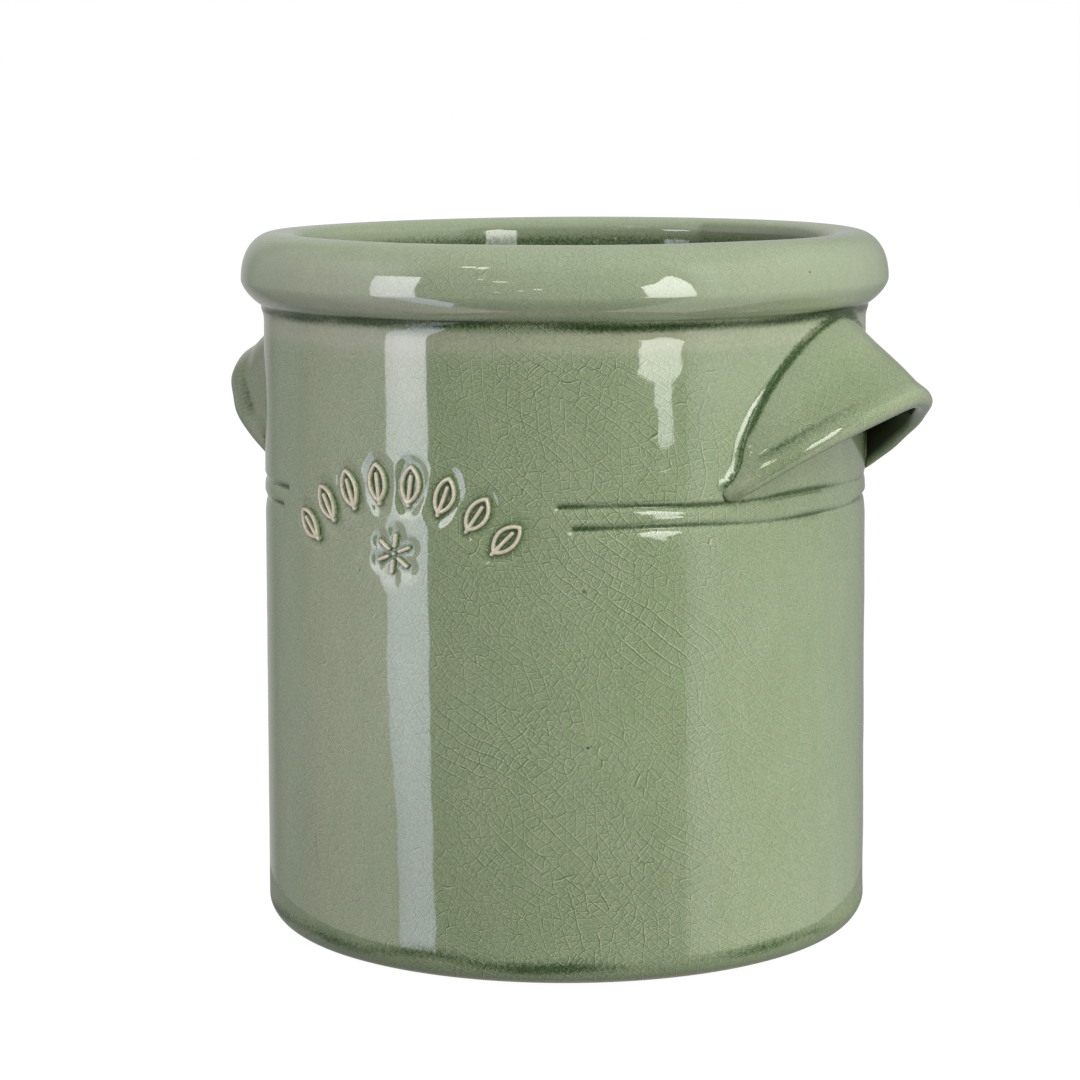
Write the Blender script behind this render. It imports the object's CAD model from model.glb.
"""A two-litre stoneware fermenting crock: thrown body, lug handles, stamped leaf
mark and weight stones, in crackled celadon glaze.

The crock stands on z = 0 about the Z axis, with the mark at its front, towards -Y.
Lengths are in millimetres until a mesh is made. phi is a bearing about the axis in
radians: 0 at the front, positive towards +X.
"""

import math

import bpy
import numpy as np
from mathutils import Matrix, Vector


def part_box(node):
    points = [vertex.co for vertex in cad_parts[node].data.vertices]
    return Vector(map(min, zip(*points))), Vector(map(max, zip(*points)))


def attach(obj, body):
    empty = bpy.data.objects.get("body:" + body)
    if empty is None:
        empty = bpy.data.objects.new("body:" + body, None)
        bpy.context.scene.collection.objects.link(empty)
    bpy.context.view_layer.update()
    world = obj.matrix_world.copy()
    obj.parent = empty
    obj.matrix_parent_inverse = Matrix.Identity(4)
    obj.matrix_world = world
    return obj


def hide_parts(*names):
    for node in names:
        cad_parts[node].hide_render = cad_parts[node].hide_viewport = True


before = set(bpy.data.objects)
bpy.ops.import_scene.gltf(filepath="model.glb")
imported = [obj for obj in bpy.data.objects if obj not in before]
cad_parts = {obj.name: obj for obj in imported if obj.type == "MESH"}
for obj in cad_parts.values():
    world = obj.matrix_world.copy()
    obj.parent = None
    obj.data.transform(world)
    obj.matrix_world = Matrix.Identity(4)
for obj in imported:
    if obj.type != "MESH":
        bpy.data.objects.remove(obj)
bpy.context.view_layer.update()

MM = 0.001
TAU = 2 * math.pi

# ------------------------------------------------------------------ CAD sizes


def mesh_points(mesh):
    """A mesh's vertices in millimetres, one to a row."""
    flat = np.zeros(len(mesh.vertices) * 3, np.float64)
    mesh.vertices.foreach_get("co", flat)
    return flat.reshape(-1, 3) / MM


def cad_points(node):
    """The radius, bearing and height of each vertex of a CAD node."""
    x, y, z = mesh_points(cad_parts[node].data).T
    return np.hypot(x, y), np.arctan2(x, -y), z


def handle_pose(node):
    """The bearing of a lug handle's centre, and its furthest radius."""
    radius, phi, _ = cad_points(node)
    tip = phi[radius > radius.max() - 0.6]
    return math.atan2(np.sin(tip).mean(), np.cos(tip).mean()), radius.max()


body_r, _, body_z = cad_points("crock_body")
HEIGHT = body_z.max()
RIM_R = body_r.max()
FOOT_R = body_r[(body_z > 5) & (body_z < 20)].max()
BORE_R = body_r[(body_z > 0.17 * HEIGHT) & (body_z < HEIGHT - 12)].min()
FLOOR_Z = body_z[(body_r < BORE_R - 4) & (body_z > 2)].min()
HEEL_W, HEEL_H = 6.8, 6.5  # the rounded edge of the foot
RIM_Z = HEIGHT - 11.3  # height of the rim's widest circle
NECK_Z = HEIGHT - 17.2  # the crease under the rim
TAPER = 0.7  # how far the wall draws in from heel to neck
HANDLES = {which: handle_pose(f"handle_{which}") for which in ("right", "left")}

# -------------------------------------------------------------- shape helpers


def smooth(x, start, end):
    """0 before start, 1 past end, smooth between; start may be the larger."""
    t = np.clip((x - start) / (end - start), 0, 1)
    return t * t * (3 - 2 * t)


def hump(x, width, power=2):
    """1 at x = 0, falling away on both sides over the width."""
    return np.exp(-np.abs(x / width) ** power)


def ripple(phi, z, seed, waves, most_lobes, shortest, longest, power=0.0):
    """Waves summed to unit size: whole lobes round the crock, and lengths in mm up it."""
    draw = np.random.RandomState(seed)
    out = 0.0
    total = 0.0
    for _ in range(waves):
        lobes = draw.randint(0, most_lobes + 1)
        climb = TAU / draw.uniform(shortest, longest) * draw.choice([-1, 1])
        size = 1.0 / (1 + lobes * power)
        out = out + size * np.cos(lobes * phi + climb * z + draw.uniform(0, TAU))
        total += size * size / 2
    return out / math.sqrt(total)


def ring_ripple(phi, seed, waves, most_lobes):
    """A ripple that changes only round the crock."""
    return ripple(phi, 0, seed, waves, most_lobes, 50, 90)


def wrap(angle):
    return (angle + math.pi) % TAU - math.pi


def unit(vec):
    return vec / np.maximum(np.linalg.norm(vec, axis=-1, keepdims=True), 1e-9)


def at_bearing(radius, phi, z):
    """Rows of x, y, z."""
    return np.stack([radius * np.sin(phi), -radius * np.cos(phi), z], -1).reshape(-1, 3)


def wall_r(z):
    return FOOT_R - TAPER * (z - HEEL_H) / (NECK_Z - HEEL_H)


def path_length(points):
    """Distance travelled up to each point of a path."""
    return np.concatenate([[0], np.cumsum(np.linalg.norm(np.diff(points, axis=0), axis=-1))])


def grid_faces(rows, cols, wrap_cols=True, start=0, flip=False):
    """Quads of a rows x cols grid of vertices."""
    i = np.arange(rows - 1)[:, None]
    j = np.arange(cols if wrap_cols else cols - 1)[None, :]
    j2 = (j + 1) % cols
    corners = (i * cols + j, i * cols + j2, (i + 1) * cols + j2, (i + 1) * cols + j)
    quads = np.stack(np.broadcast_arrays(*corners), axis=-1).reshape(-1, 4) + start
    return [tuple(quad) for quad in (quads[:, ::-1] if flip else quads)]


def add_mesh(name, node, points, faces, attrs, skin, slot, body="crock", around=None):
    """A smooth-shaded closed mesh facing outwards, that rides on a body and replaces a CAD node.

    attrs: values at each vertex, read by the glaze. skin: each vertex's (along, up) place
    on the surface, for the craze lines; around is the distance after which it comes round
    to the same vertex.
    """
    verts = np.asarray(points, np.float64) * MM
    tri = np.array([(f[0], f[k], f[k + 1]) for f in faces for k in range(1, len(f) - 1)])
    p0, p1, p2 = (verts[tri[:, k]] for k in range(3))
    if np.einsum("ij,ij->i", p0, np.cross(p1, p2)).sum() < 0:
        faces = [tuple(f)[::-1] for f in faces]
    mesh = bpy.data.meshes.new(name)
    mesh.vertices.add(len(verts))
    mesh.vertices.foreach_set("co", verts.astype(np.float32).ravel())
    sizes = np.array([len(f) for f in faces], np.int32)
    loops = np.concatenate([np.asarray(f, np.int32) for f in faces])
    starts = np.concatenate([[0], np.cumsum(sizes)[:-1]]).astype(np.int32)
    mesh.loops.add(len(loops))
    mesh.loops.foreach_set("vertex_index", loops)
    mesh.polygons.add(len(sizes))
    mesh.polygons.foreach_set("loop_start", starts)
    mesh.polygons.foreach_set("loop_total", sizes)
    mesh.polygons.foreach_set("use_smooth", np.ones(len(sizes), bool))
    mesh.update(calc_edges=True)
    mesh.validate()
    for key, values in attrs.items():
        layer = mesh.attributes.new(key, "FLOAT", "POINT")
        layer.data.foreach_set("value", np.asarray(values, np.float32).ravel())

    corners = np.zeros(len(mesh.loops), np.int32)
    mesh.loops.foreach_get("vertex_index", corners)
    place = np.asarray(skin, np.float64)[corners]
    if around:
        # corners across the seam go on past the full turn instead of back to its start
        polys = mesh.polygons
        face_of = np.repeat(np.arange(len(polys)), [len(poly.vertices) for poly in polys])
        furthest = np.full(len(polys), -1e9)
        np.maximum.at(furthest, face_of, place[:, 0])
        place[:, 0] += around * (furthest[face_of] - place[:, 0] > around / 2)
    layer = mesh.attributes.new("skin", "FLOAT_VECTOR", "CORNER")
    flat = np.pad(place, ((0, 0), (0, 1))).astype(np.float32).ravel()
    layer.data.foreach_set("vector", flat)

    obj = bpy.data.objects.new(name, mesh)
    bpy.context.scene.collection.objects.link(obj)
    mesh.materials.append(GLAZES[slot])
    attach(obj, body)
    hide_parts(node)


# --------------------------------------------------------------- node helpers


class Wire:
    """A node's output. Sums written with it add Math nodes; in +, * and / it stands first."""

    def __init__(self, graph, socket):
        self.graph = graph
        self.socket = socket

    def math(self, operation, *others):
        return self.graph.math(operation, self, *others)

    def __add__(self, other):
        return self.math("ADD", other)

    def __sub__(self, other):
        return self.math("SUBTRACT", other)

    def __rsub__(self, other):
        return self.graph.math("SUBTRACT", other, self)

    def __mul__(self, other):
        return self.math("MULTIPLY", other)

    def __truediv__(self, other):
        return self.math("DIVIDE", other)

    def max(self, other):
        return self.math("MAXIMUM", other)

    def floor(self):
        return self.math("FLOOR")

    def mul_add(self, factor, addend):
        return self.math("MULTIPLY_ADD", factor, addend)

    def step(self, start, end, lo=0.0, hi=1.0, kind="SMOOTHSTEP"):
        """Maps start..end to lo..hi, held outside; start may be the larger."""
        if start > end:
            start, end, lo, hi = end, start, hi, lo
        inputs = {"Value": self, "From Min": start, "From Max": end, "To Min": lo, "To Max": hi}
        return self.graph.node("MapRange", inputs, interpolation_type=kind, clamp=True)


class Graph:
    """Short calls for building a node tree."""

    def __init__(self, tree):
        self.tree = tree
        tree.nodes.clear()

    def put(self, value, socket):
        value = getattr(value, "socket", value)
        if isinstance(value, bpy.types.NodeSocket):
            self.tree.links.new(value, socket)
        else:
            socket.default_value = (*value[:3], 1.0) if socket.type == "RGBA" else value

    def node(self, kind, inputs=None, output=0, **props):
        """Adds a node and returns one output, or the node itself when output is None."""
        node = self.tree.nodes.new("ShaderNode" + kind)
        for key, value in props.items():
            setattr(node, key, value)
        for key, value in (inputs or {}).items():
            self.put(value, node.inputs[key])
        return node if output is None else Wire(self, node.outputs[output])

    def math(self, operation, *values):
        return self.node("Math", dict(enumerate(values)), operation=operation)

    def vmath(self, operation, *values):
        output = "Value" if operation in ("DOT_PRODUCT", "DISTANCE") else 0
        return self.node("VectorMath", dict(enumerate(values)), output, operation=operation)

    def scale(self, vec, factor):
        return self.node("VectorMath", {0: vec, "Scale": factor}, operation="SCALE")

    def mix(self, factor, first, second, blend="MIX"):
        inputs = {0: factor, 6: first, 7: second}
        return self.node("Mix", inputs, output=2, data_type="RGBA", blend_type=blend)

    def combine(self, *channels):
        return self.node("CombineColor", dict(enumerate(channels)))

    def separate(self, vec):
        return [Wire(self, out) for out in self.node("SeparateXYZ", {0: vec}, None).outputs]

    def noise(self, vec, size, detail=2.0, rough=0.5, output="Fac"):
        """Noise whose features are about `size` millimetres across."""
        inputs = {"Vector": vec, "Scale": 1.0 / size, "Detail": detail, "Roughness": rough}
        return self.node("TexNoise", inputs, output)

    def cells(self, vec, size):
        """Distance to the nearest edge of a flat net of cells of that size."""
        props = {"voronoi_dimensions": "2D", "feature": "DISTANCE_TO_EDGE"}
        inputs = {"Vector": vec, "Scale": 1.0 / size}
        return self.node("TexVoronoi", inputs, "Distance", **props) * size

    def chance(self, *terms):
        """A random number from 0 to 1 for each combination of the (value, weight) terms."""
        total = None
        for value, weight in terms:
            term = value * weight
            total = term if total is None else total + term
        return self.node("TexWhiteNoise", {"W": total}, "Value", noise_dimensions="1D")

    def ladder(self, rise, run, rows, rungs, width, seed):
        """Cracks along lines of equal rise, `rows` apart, with rungs across, `rungs` apart."""
        row = (rise / rows).floor()
        shifted = run + self.chance((row + seed, 1.713)) * (rungs * 5)
        near_row = (rise / rows + 0.5).floor()
        rung = (shifted / rungs + 0.5).floor()
        part = (run / (rungs * 3.3)).floor()
        kept = self.chance((row, 7.131), (rung, 1.377)).step(0.20, 0.32)
        kept_row = self.chance((near_row, 3.717), (part, 2.173)).step(0.08, 0.16)
        across = shifted.math("PINGPONG", rungs / 2).step(width * 1.3, width * 0.4)
        along = rise.math("PINGPONG", rows / 2).step(width * 1.3, width * 0.4)
        return (across * kept * 0.85).max(along * kept_row)

    def attr(self, name, output="Fac"):
        return self.node("Attribute", None, output, attribute_name=name)

    def mm(self):
        """The point's place in the object's frame, in millimetres."""
        return self.scale(self.node("TexCoord", None, "Object"), 1000.0)


def new_material(name):
    mat = bpy.data.materials.new(name)
    mat.use_nodes = True
    return mat, Graph(mat.node_tree)


def srgb(*channels):
    return tuple(((v / 255 + 0.055) / 1.055) ** 2.4 if v > 10 else v / 255 / 12.92 for v in channels)


# --------------------------------------------------------------------- glazes

GREEN = srgb(142, 160, 121)
GREY = srgb(161, 168, 141)
DARK = srgb(58, 84, 44)
PALE = srgb(206, 196, 172)
RIM_TONE = srgb(159, 171, 142)
HOLLOW_TONE = (0.010, 0.010, 0.003)
SPECK_TONE = (0.03, 0.035, 0.02)
CLAY_TONES = srgb(196, 172, 140), srgb(160, 134, 104)
# iron specks: place, radius
SPECKS = (
    ((43.05, -59.29, 56.0), 0.30), ((75.91, -16.82, 161.5), 0.26),
    ((-9.96, -72.41, 94.0), 0.24), ((42.3, -59.6, 91.5), 0.5),
)


def mottle(graph, point, tone, green, grey):
    """The body colour, and its brightness in a finer grain."""
    broad = graph.noise(point, size=46)
    cloud = graph.noise(graph.vmath("MULTIPLY", point, (1.0, 1.0, 0.4)), 8, detail=3, rough=0.55)
    hue = graph.noise(graph.vmath("ADD", point, (17.0, 43.0, 5.0)), size=4.2, rough=0.6)
    fine = graph.noise(point, size=1.5, rough=0.6)
    grit = graph.noise(point, size=0.42, detail=1.0, rough=0.7)
    drift = broad.step(0.36, 0.68, lo=0.12, hi=0.36) + cloud.step(0.38, 0.70, hi=0.16)
    colour = graph.mix(drift, green, grey)
    greener = (green[0] * 0.88, green[1] * 1.02, green[2] * 0.98)
    colour = graph.mix(hue.step(0.40, 0.64, hi=0.26), colour, greener)
    colour = graph.mix(tone, colour, RIM_TONE)
    value = (fine - 0.5).mul_add(0.16, 1.0)
    value = (grit - 0.5).mul_add((1.0 - tone * 0.35) * 0.74, value)
    value = (cloud - 0.5).mul_add(0.12, value)
    return colour, value


def craze_lines(graph, point, tone):
    """Masks of the pale craze threads and the dark ones beside them, and how clear they are.

    Two sizes of ladder, long curved cracks with short ones between like rungs, and a net
    of straying ones.
    """
    skin = graph.attr("skin", "Vector")
    flow = graph.noise(point, size=34.0, detail=0.5, output="Color")
    sway = graph.noise(point, size=6.0, detail=1, output="Color")
    jitter = graph.noise(point, size=1.5, detail=1, output="Color")
    skin_x, skin_y, _ = graph.separate(skin)
    flow_x, flow_y, _ = graph.separate(flow)
    sway_x, sway_y, _ = graph.separate(sway)
    jitter_x, jitter_y, _ = graph.separate(jitter)
    point_x, point_y, _ = graph.separate(point)

    def weave(along, up, *bends):
        """A slanted coordinate of the skin, bent by the three noises, coarse to fine."""
        out = skin_x.mul_add(along, skin_y * up)
        for bend, size in zip(bends, (17.0, 1.3, 0.28)):
            out = (bend - 0.5).mul_add(size, out)
        return out

    rise = weave(0.64, 0.76, flow_x, sway_x, jitter_x)
    run = weave(0.80, -0.60, flow_y, sway_y, jitter_y)
    rise2 = weave(0.95, 0.22, flow_y, sway_x, jitter_y)
    run2 = weave(-0.16, 0.97, flow_x, sway_y, jitter_x)
    # where each kind of crack shows
    here = graph.noise(point, size=15, rough=0.6)
    there = graph.noise(graph.vmath("ADD", point, (71.0, 13.0, 37.0)), size=11, rough=0.6)
    most = here.step(0.32, 0.56, lo=0.50)
    some = there.step(0.36, 0.60, lo=0.30)
    little = there.step(0.62, 0.40, lo=0.35, hi=0.95)

    def threads(first, second, net_at):
        lines = graph.ladder(*first, rows=2.1, rungs=1.45, width=0.075, seed=0.5) * most
        finer = graph.ladder(*second, rows=2.3, rungs=1.6, width=0.062, seed=9.5) * little
        return lines.max(finer).max(graph.cells(net_at, 2.7).step(0.095, 0.03) * some)

    bend = graph.scale(graph.vmath("SUBTRACT", sway, (0.5, 0.5, 0.5)), 4.0)
    bent = graph.vmath("ADD", skin, bend)
    beside = graph.vmath("ADD", bent, (0.17, -0.13, 0.0))
    pale_lines = threads((rise, run), (rise2, run2), bent)
    dark_lines = threads((rise + 0.18, run + 0.15), (rise2 + 0.17, run2 + -0.16), beside)

    # the cracks are open widest on the flank between the front and +X
    radius = (point_x * point_x + point_y * point_y).math("SQRT")
    flank = point_x.mul_add(0.588, point_y * -0.809)
    clear = flank.step(58.0, 72.0, lo=0.98, hi=1.75) * radius.step(74.8, 76.5, lo=1.0, hi=0.82)
    clear = clear * point_x.step(46.0, 66.0, lo=1.0, hi=0.74)
    return pale_lines, dark_lines, clear * (1.0 - tone * 0.55)


def glaze_material(name, green, grey, dark, pale, crackle=1.0, rough=0.02, specks=()):
    """Crackled celadon, guided by the mesh's attributes.

    pool: dark where the glaze gathers; thin: pale where it runs off; bare: unglazed clay;
    tone: towards the rim's colour; hollow: where little light gets out.
    """
    mat, graph = new_material(name)
    point = graph.mm()
    pool, thin, bare = graph.attr("pool"), graph.attr("thin"), graph.attr("bare")
    tone, hollow = graph.attr("tone"), graph.attr("hollow")
    colour, value = mottle(graph, point, tone, green, grey)
    pale_lines, dark_lines, clear = craze_lines(graph, point, tone)

    # pooled glaze is broken up into grains, and hides the pale threads
    edge = pool + (graph.noise(point, size=0.8, rough=0.7) - 0.5) * 0.85
    deep = edge.step(0.16, 0.92) * pool.step(0.02, 0.16)
    speckled = graph.noise(graph.vmath("ADD", point, (5.0, 9.0, 3.0)), size=0.5, rough=0.7)
    colour = graph.mix(deep * speckled.step(0.34, 0.58, lo=0.72), colour, dark)
    pale_lines = pale_lines * (1.0 - deep * 0.85)
    thread = tuple(min(1, c * 1.45 + 0.03) for c in grey)
    colour = graph.mix(pale_lines * (clear * (0.60 * crackle)), colour, thread)
    thread = tuple(c * 0.8 for c in dark)
    colour = graph.mix(dark_lines * (clear * (0.46 * crackle)), colour, thread)

    # thin glaze over edges and tips
    worn = thin + (graph.noise(point, size=1.0, rough=0.6) - 0.5) * 0.5
    colour = graph.mix(worn.step(0.20, 0.95) * thin.step(0.02, 0.2), colour, pale)
    colour = graph.mix(1.0, colour, graph.combine(value, value, value), "MULTIPLY")
    colour = graph.mix(hollow, colour, HOLLOW_TONE)
    for place, size in specks:
        far = graph.vmath("DISTANCE", point, place)
        strength = 0.9 if size < 0.4 else 0.45
        colour = graph.mix(far.step(size * 1.5, size * 0.6, hi=strength), colour, SPECK_TONE)
    clay_grain = graph.noise(point, size=0.8, detail=3, rough=0.7)
    colour = graph.mix(bare, colour, graph.mix(clay_grain, *CLAY_TONES))

    roughness = graph.noise(point, size=5).step(0.35, 0.7, lo=rough, hi=rough + 0.02)
    gloss = (0.5 - bare * 0.3) * (1.0 - deep * 0.72) * (1.0 - hollow * 0.75)
    # orange-peel of the melt, craze lines just sunk into it, and the clay's grit
    peel = graph.noise(point, size=2.6, detail=1.5)
    height = peel * 0.007 + dark_lines * -0.0008 + clay_grain * bare * 0.35
    bump = graph.node("Bump", {"Strength": 1.0, "Distance": MM, "Height": height})
    surface = {
        "Base Color": colour,
        "Roughness": roughness + bare * 0.75,
        "IOR": 1.5,
        "Specular IOR Level": gloss,
        "Normal": bump,
    }
    graph.node("OutputMaterial", {"Surface": graph.node("BsdfPrincipled", surface)}, None)
    return mat


# by material slot
GLAZES = {
    "celadon_glaze": glaze_material("celadon_glaze", GREEN, GREY, DARK, PALE, specks=SPECKS),
    "relief_glaze": glaze_material(
        "relief_glaze", GREEN, GREY, DARK, pale=srgb(226, 214, 192), crackle=0.4
    ),
    "stone_glaze": glaze_material(
        "weight_stone_glaze",
        green=srgb(186, 178, 150),
        grey=srgb(204, 196, 172),
        dark=srgb(112, 112, 78),
        pale=srgb(206, 178, 142),
        crackle=0.6,
        rough=0.22,
    ),
}

# ---------------------------------------------------------------- lug handles
# Each hood is swept from root to root, in a frame whose x points out through its
# middle. u is -1..1 along the lip and goes on into a short tail inside the wall; the
# section runs over the top, round the lip and back underneath.

LIP_T = 5.5  # thickness of the lip's roll
LIP_HALF = math.radians(29.2)
LIP_ROOT_Z, LIP_TIP_Z = 112.9, 132.2
LIP_REACH_POWER, LIP_RISE_POWER = 1.85, 1.70
ARCH_HALF = math.radians(28.0)
ARCH_ROOT_Z, ARCH_CROWN_Z = 116.5, 150.3
ARCH_POWER = 1.176
WEB_T = 4.6  # thickness of the web between lip and wall
TAIL = 0.12  # length of the tail, in u
TAIL_TURN, TAIL_DROP = math.radians(3.4), 2.2
HOOD_COLS, WEB_ROWS, LIP_ROWS = 190, 34, 22
LIFT = {"right": 0.0, "left": 2.9}  # the left handle sits a little higher
HAND_SEED = {"right": 1.3, "left": 4.1}


def polar(radius, angle, z):
    return np.stack([radius * np.cos(angle), radius * np.sin(angle), z], -1)


def tail_part(u):
    """0 along the lip, rising to 1 at the tail's end."""
    return np.maximum(0, np.abs(u) - 1) / TAIL


def lip_height(k):
    """k: 0 in the middle, 1 at the roots."""
    return LIP_ROOT_Z + (LIP_TIP_Z - LIP_ROOT_Z) * (1 - k**LIP_RISE_POWER)


def arch_height(t):
    """t: 0 at the crown, a quarter turn at the roots."""
    return ARCH_ROOT_Z + (ARCH_CROWN_Z - ARCH_ROOT_Z) * np.maximum(0, np.cos(t)) ** ARCH_POWER


def lip_curve(u, reach):
    inside = np.clip(u, -1, 1)
    k = np.abs(inside)
    tail = tail_part(u)
    root = wall_r(LIP_ROOT_Z) - 0.3
    radius = root + (reach - root) * (1 - k**LIP_REACH_POWER) - 4.6 * tail**1.3
    angle = LIP_HALF * inside + TAIL_TURN * np.sign(inside) * tail
    return polar(radius, angle, lip_height(k) - TAIL_DROP * tail)


def crease_curve(u):
    """Where the hood's upper skin meets the wall."""
    inside = np.clip(u, -1, 1)
    k = np.abs(inside)
    tail = tail_part(u)
    t = math.pi / 2 * (0.85 * k + 0.15 * k**6)
    angle = (ARCH_HALF * np.sin(t) ** ARCH_POWER + TAIL_TURN * tail) * np.sign(inside)
    z = arch_height(t) - TAIL_DROP * tail
    return polar(wall_r(z) - 2 * tail, angle, z)


def web_axes(u, reach, web):
    """Unit vectors from the lip along the web, and square to the web."""
    near = 0.004
    tangent = unit(lip_curve(u + near, reach) - lip_curve(u - near, reach))
    inward = unit(web)
    return inward, unit(np.cross(tangent, inward))


def dive(points):
    """The points, moved in towards the axis until they are well inside the wall."""
    radius = np.hypot(points[..., 0], points[..., 1])
    k = np.minimum(1, (wall_r(points[..., 2]) - 3.2) / radius)
    return points * np.stack([k, k, np.ones_like(k)], -1)


def arch_curve(u, reach):
    """The web's inner end: half its thickness under the crease, and inside the wall."""
    crease = crease_curve(u)
    inward, outward = web_axes(u, reach, crease - lip_curve(u, reach))
    return dive(crease - outward * (WEB_T / 2 + 0.45) + inward * 4.0)


def hood_grid(reach, seed):
    """u, and for each point of the sections its place, distance from the lip line and side.

    side is 1 on the upper skin, -1 on the lower, and runs between them round the lip.
    """
    u = np.linspace(-1 - TAIL, 1 + TAIL, HOOD_COLS)
    lip = lip_curve(u, reach)
    web = arch_curve(u, reach) - lip
    length = np.linalg.norm(web, axis=-1)
    inward, normal = web_axes(u, reach, web)
    shrink = 1 - 0.35 * tail_part(u)
    lip_radius = LIP_T / 2 * (1 + 0.05 * np.cos(5 * u + seed))
    start = LIP_T / 2 * 0.9
    points, dist, side = [], [], []

    def web_row(t, face):
        run = start + (length - start) * t
        part = run / np.maximum(length, 1e-6)
        half = WEB_T / 2 + 0.9 * np.clip(part, 0, 1) ** 4
        if face > 0:
            # finger-drawn channel behind the lip, running out towards the middle
            channel = smooth(length, 5, 12) * smooth(np.abs(u), 0.12, 0.5)
            half = half - 0.45 * hump(run - 4.0, 1.9) * channel
            half = half + 0.30 * hump(part - 0.55, 0.2) * smooth(length, 8, 20)
        points.append(lip + inward * run[:, None] + normal * (face * half * shrink)[:, None])
        dist.append(run)
        side.append(np.full(HOOD_COLS, float(face)))

    steps = np.linspace(0, 1, WEB_ROWS) ** 1.15
    for t in steps[::-1][:-1]:
        web_row(t, 1)
    for t in np.radians(np.linspace(90, -90, LIP_ROWS)):
        way = normal * math.sin(t) - inward * math.cos(t)
        points.append(lip + way * (lip_radius * shrink)[:, None])
        dist.append(np.zeros(HOOD_COLS))
        side.append(np.full(HOOD_COLS, math.sin(t)))
    for t in steps[1:]:
        web_row(t, -1)
    return u, np.stack(points, 1), np.stack(dist, 1), np.stack(side, 1)


def wall_crossings(over, phi, z):
    """(bearing, height, weight) where the upper and the lower skins leave the wall."""
    found = []
    cols, rows = over.shape
    for lo, hi, weight in ((0, WEB_ROWS, 1.0), (rows - WEB_ROWS, rows, 0.55)):
        for i in range(cols):
            sign = np.sign(over[i, lo:hi])
            change = np.where(sign[1:] != sign[:-1])[0]
            if len(change):
                k = lo + change[0]
                part = over[i, k] / (over[i, k] - over[i, k + 1])
                cross_phi = phi[i, k] + part * (phi[i, k + 1] - phi[i, k])
                found.append((cross_phi, z[i, k] + part * (z[i, k + 1] - z[i, k]), weight))
    return found


def hood_glaze(which, u, over, across, dist, side):
    """The hood's glaze attributes; over is the distance out from the wall."""
    at_lip = dist == 0
    root = smooth(np.abs(u), 0.78, 0.94)[:, None]
    high = np.maximum(0, over - 0.7 * (1 - root))
    channel = hump(across + 6.4, 1.7) * smooth(np.abs(u), 0.95, 0.78)[:, None]
    pool = np.maximum.reduce([
        hump(high, 0.75 - 0.35 * root),
        0.16 * hump(high, 2.4 - 1.4 * root),
        channel * (0.42 + 0.40 * smooth(np.abs(u), 0.10, 0.65))[:, None],
        (side < -0.2) * 0.95 * smooth(dist, 0, 6),
    ])
    thin = hump(side - 0.35, 0.5) * at_lip * 0.34
    thin = np.maximum(thin, root * at_lip * 0.36 * smooth(over, 0.6, 2.0))
    hollow = 0.97 * smooth(over, 21.0, 16.0) * smooth(across, 1.0, 4.5)
    shade = 0.28
    if which == "right":
        shade = 0.09 * smooth(across, -4.0, -8.0) * smooth(over, 6, 11)
    return {
        "pool": pool,
        "thin": thin * (1 - pool),
        "bare": np.zeros(over.shape),
        "tone": np.maximum(
            0.30 * root * (side > 0.5), 0.60 * smooth(over, 9.0, 2.0) * (across < -1.0)
        ),
        "hollow": np.maximum(hollow, shade),
    }


def build_handle(which):
    """Builds one hood and returns its crossings with the wall."""
    centre, far = HANDLES[which]
    seed = HAND_SEED[which]
    u, points, dist, side = hood_grid(far - LIP_T / 2, seed)
    cols, rows = points.shape[:2]
    radius = np.hypot(points[..., 0], points[..., 1])
    angle = np.arctan2(points[..., 1], points[..., 0])
    z = points[..., 2] + LIFT[which]
    # hand-made unevenness
    bump = 0.16 * ripple(
        angle * 5, z, 31 + int(seed), waves=9, most_lobes=3, shortest=9, longest=26
    )
    radius = radius + bump * smooth(radius - wall_r(z), -1, 4)
    phi = centre + angle
    over = radius - wall_r(z)
    across = np.stack([path_length(section) for section in points])
    across = across - across[:, rows // 2 : rows // 2 + 1]
    along = path_length(points[:, rows // 2])[:, None] + 300.0 * seed
    skin = np.stack(np.broadcast_arrays(along, across), -1).reshape(-1, 2)
    faces = grid_faces(cols, rows)
    faces.append(tuple(range(rows))[::-1])
    faces.append(tuple((cols - 1) * rows + k for k in range(rows)))
    add_mesh(
        f"handle_{which}_pulled",
        f"handle_{which}",
        at_bearing(radius, phi, z),
        faces,
        hood_glaze(which, u, over, across, dist, side),
        skin,
        "celadon_glaze",
    )
    return wall_crossings(over, phi, z)


CROSSINGS = np.concatenate([build_handle(which) for which in HANDLES])

# ----------------------------------------------------------- the stamped mark
# Eight outlined leaves on an arc, and a six-petal flower under it, each pressed with
# its own stamp: raised strokes in a shallow pocket.

ARC_R, ARC_TOP = 38.6, 114.8
LEAF_FIRST, LEAF_PITCH = 6.6, 13.1  # degrees along the arc
LEAF_L, LEAF_W = 9.6, 5.0
LEAF_MARGIN = 1.2
FLOWER_Z, FLOWER_HALF = 98.6, 6.0
MARK_R = wall_r(105.0)  # turns a length round the mark into a bearing
STROKE_W, STROKE_LIFT, STROKE_SINK = 0.95, 0.72, 0.95
PATCH_PITCH, PATCH_BACK = 0.2, -1.6


def leaf_stamps():
    """(arc length from the front, height, turn anticlockwise) of each leaf."""
    out = []
    for side in (-1, 1):
        for i in range(4):
            psi = side * math.radians(LEAF_FIRST + LEAF_PITCH * i)
            out.append((ARC_R * math.sin(psi), ARC_TOP - ARC_R * (1 - math.cos(psi)), -psi))
    return out


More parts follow.
